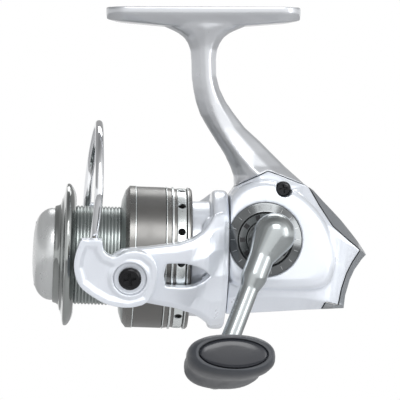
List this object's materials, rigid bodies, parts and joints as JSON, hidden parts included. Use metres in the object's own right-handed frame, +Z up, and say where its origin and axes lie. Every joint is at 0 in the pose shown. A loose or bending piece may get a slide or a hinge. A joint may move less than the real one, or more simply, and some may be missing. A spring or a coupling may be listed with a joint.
{
  "type": "spinning reel",
  "caption": "Small front-drag spinning fishing reel with a foot, curved stem, gear housing, rotor with bail loop, skirted spool and cranked handle with a paddle knob.",
  "frame": {"origin": "centre of the foot's top face, where the rod's reel seat bears", "axes": "+Z up to the rod, -X to the spool end and rod tip, -Y to the handle side"},
  "size_m": [0.1032, 0.0992, 0.1152],
  "materials": {
    "pearl_silver": "fine metallic silver-white paint, gloss",
    "frame_silver": "fine metallic silver paint, gloss",
    "gunmetal": "metallic dark grey paint, satin",
    "dial_grey": "satin grey ring with fine ticks",
    "black_steel": "blackened steel screws",
    "chrome": "bright chrome",
    "satin_aluminium": "satin turned aluminium",
    "spool_grey": "grey-green anodised, turned",
    "lip_steel": "dark polished lip",
    "band_brown": "warm grey anodised, brushed",
    "crank_grey": "satin cast arm",
    "rubber_charcoal": "matte charcoal rubber",
    "black_gloss": "gloss black cap",
    "brass": "machined brass",
    "zinc": "die-cast, greased",
    "nylon": "moulded nylon",
    "steel": "ground steel",
    "roller_gold": "gold-coloured hard coating",
    "drag_disc": "oiled felt and steel discs",
    "arm_plate": "moulded grey plates",
    "weight_dark": "cast weight"
  },
  "bodies": {
    "root": {"body_frame": "frame_silver", "side_cover": "pearl_silver", "rear_trim": "gunmetal", "cover_screws": "black_steel", "handle_bezel": "dial_grey", "drive_bearing_near": "steel", "drive_bearing_far": "steel", "pinion_bearing": "steel", "pinion_bush": "brass", "one_way_clutch": "steel", "bearing_retainer": "steel", "guide_rail": "steel"},
    "handle": {"drive_gear": "zinc", "handle_shaft": "steel", "crank": "crank_grey", "knob_post": "steel", "shaft_cap": "satin_aluminium"},
    "knob": {"knob_grip": "rubber_charcoal", "knob_cap": "black_gloss"},
    "oscillation_gear": {"oscillation_gear": "nylon"},
    "shaft": {"main_shaft": "steel", "oscillation_slider": "nylon", "slider_screw": "steel"},
    "spool": {"spool": "spool_grey", "spool_lip": "lip_steel", "skirt_band": "band_brown", "skirt_ring": "satin_aluminium", "drag_washers": "drag_disc", "drag_retainer": "steel", "click_gear": "nylon"},
    "drag_knob": {"drag_knob": "satin_aluminium", "drag_spring": "steel", "drag_nut": "brass"},
    "rotor": {"rotor": "pearl_silver", "pinion_gear": "brass", "rotor_nut": "steel", "near_arm_cover": "arm_plate", "far_arm_cover": "arm_plate", "bail_spring": "steel", "trip_lever": "steel", "balance_weight": "weight_dark"},
    "bail": {"bail_lever": "pearl_silver", "bail_wire": "chrome", "bail_holder": "pearl_silver", "bail_screws": "black_steel", "roller_screw": "steel"},
    "line_roller": {"line_roller": "roller_gold", "roller_bush": "nylon"}
  },
  "joints": [
    {"name": "handle_spin", "type": "hinge", "parent": "root", "child": "handle", "pos_m": [0.0178, 0, -0.0713], "axis": [0, 1, 0], "continuous": true},
    {"name": "rotor_spin", "type": "hinge", "parent": "root", "child": "rotor", "pos_m": [0.01756, 0, -0.0781], "axis": [0.9994, 0, -0.0349], "continuous": true},
    {"name": "oscillation_spin", "type": "hinge", "parent": "root", "child": "oscillation_gear", "pos_m": [0.02342, 0, -0.08224], "axis": [0, 1, 0], "continuous": true},
    {"name": "spool_stroke", "type": "slide", "parent": "root", "child": "shaft", "axis": [-0.9994, 0, 0.0349], "range_m": [0, 0.009]},
    {"name": "spool_spin", "type": "hinge", "parent": "shaft", "child": "spool", "pos_m": [0.01756, 0, -0.0781], "axis": [0.9994, 0, -0.0349], "continuous": true},
    {"name": "drag_turn", "type": "hinge", "parent": "shaft", "child": "drag_knob", "pos_m": [0.01756, 0, -0.0781], "axis": [0.9994, 0, -0.0349], "range_deg": [-720, 90]},
    {"name": "bail_flip", "type": "hinge", "parent": "rotor", "child": "bail", "pos_m": [-0.02331, 0, -0.07667], "axis": [-0.0073, -0.9781, -0.2078], "range_deg": [0, 115]},
    {"name": "roller_spin", "type": "hinge", "parent": "bail", "child": "line_roller", "pos_m": [-0.03465, -0.00158, -0.06883], "axis": [0.0073, 0.9781, 0.2078], "continuous": true},
    {"name": "knob_spin", "type": "hinge", "parent": "handle", "child": "knob", "pos_m": [0.00154, -0.04203, -0.11056], "axis": [0.1183, -0.9511, 0.2855], "continuous": true}
  ],
  "couplings": [
    {"joint": "rotor_spin", "follows": "handle_spin", "ratio": 5.125},
    {"joint": "oscillation_spin", "follows": "handle_spin", "ratio": -0.51852}
  ]
}
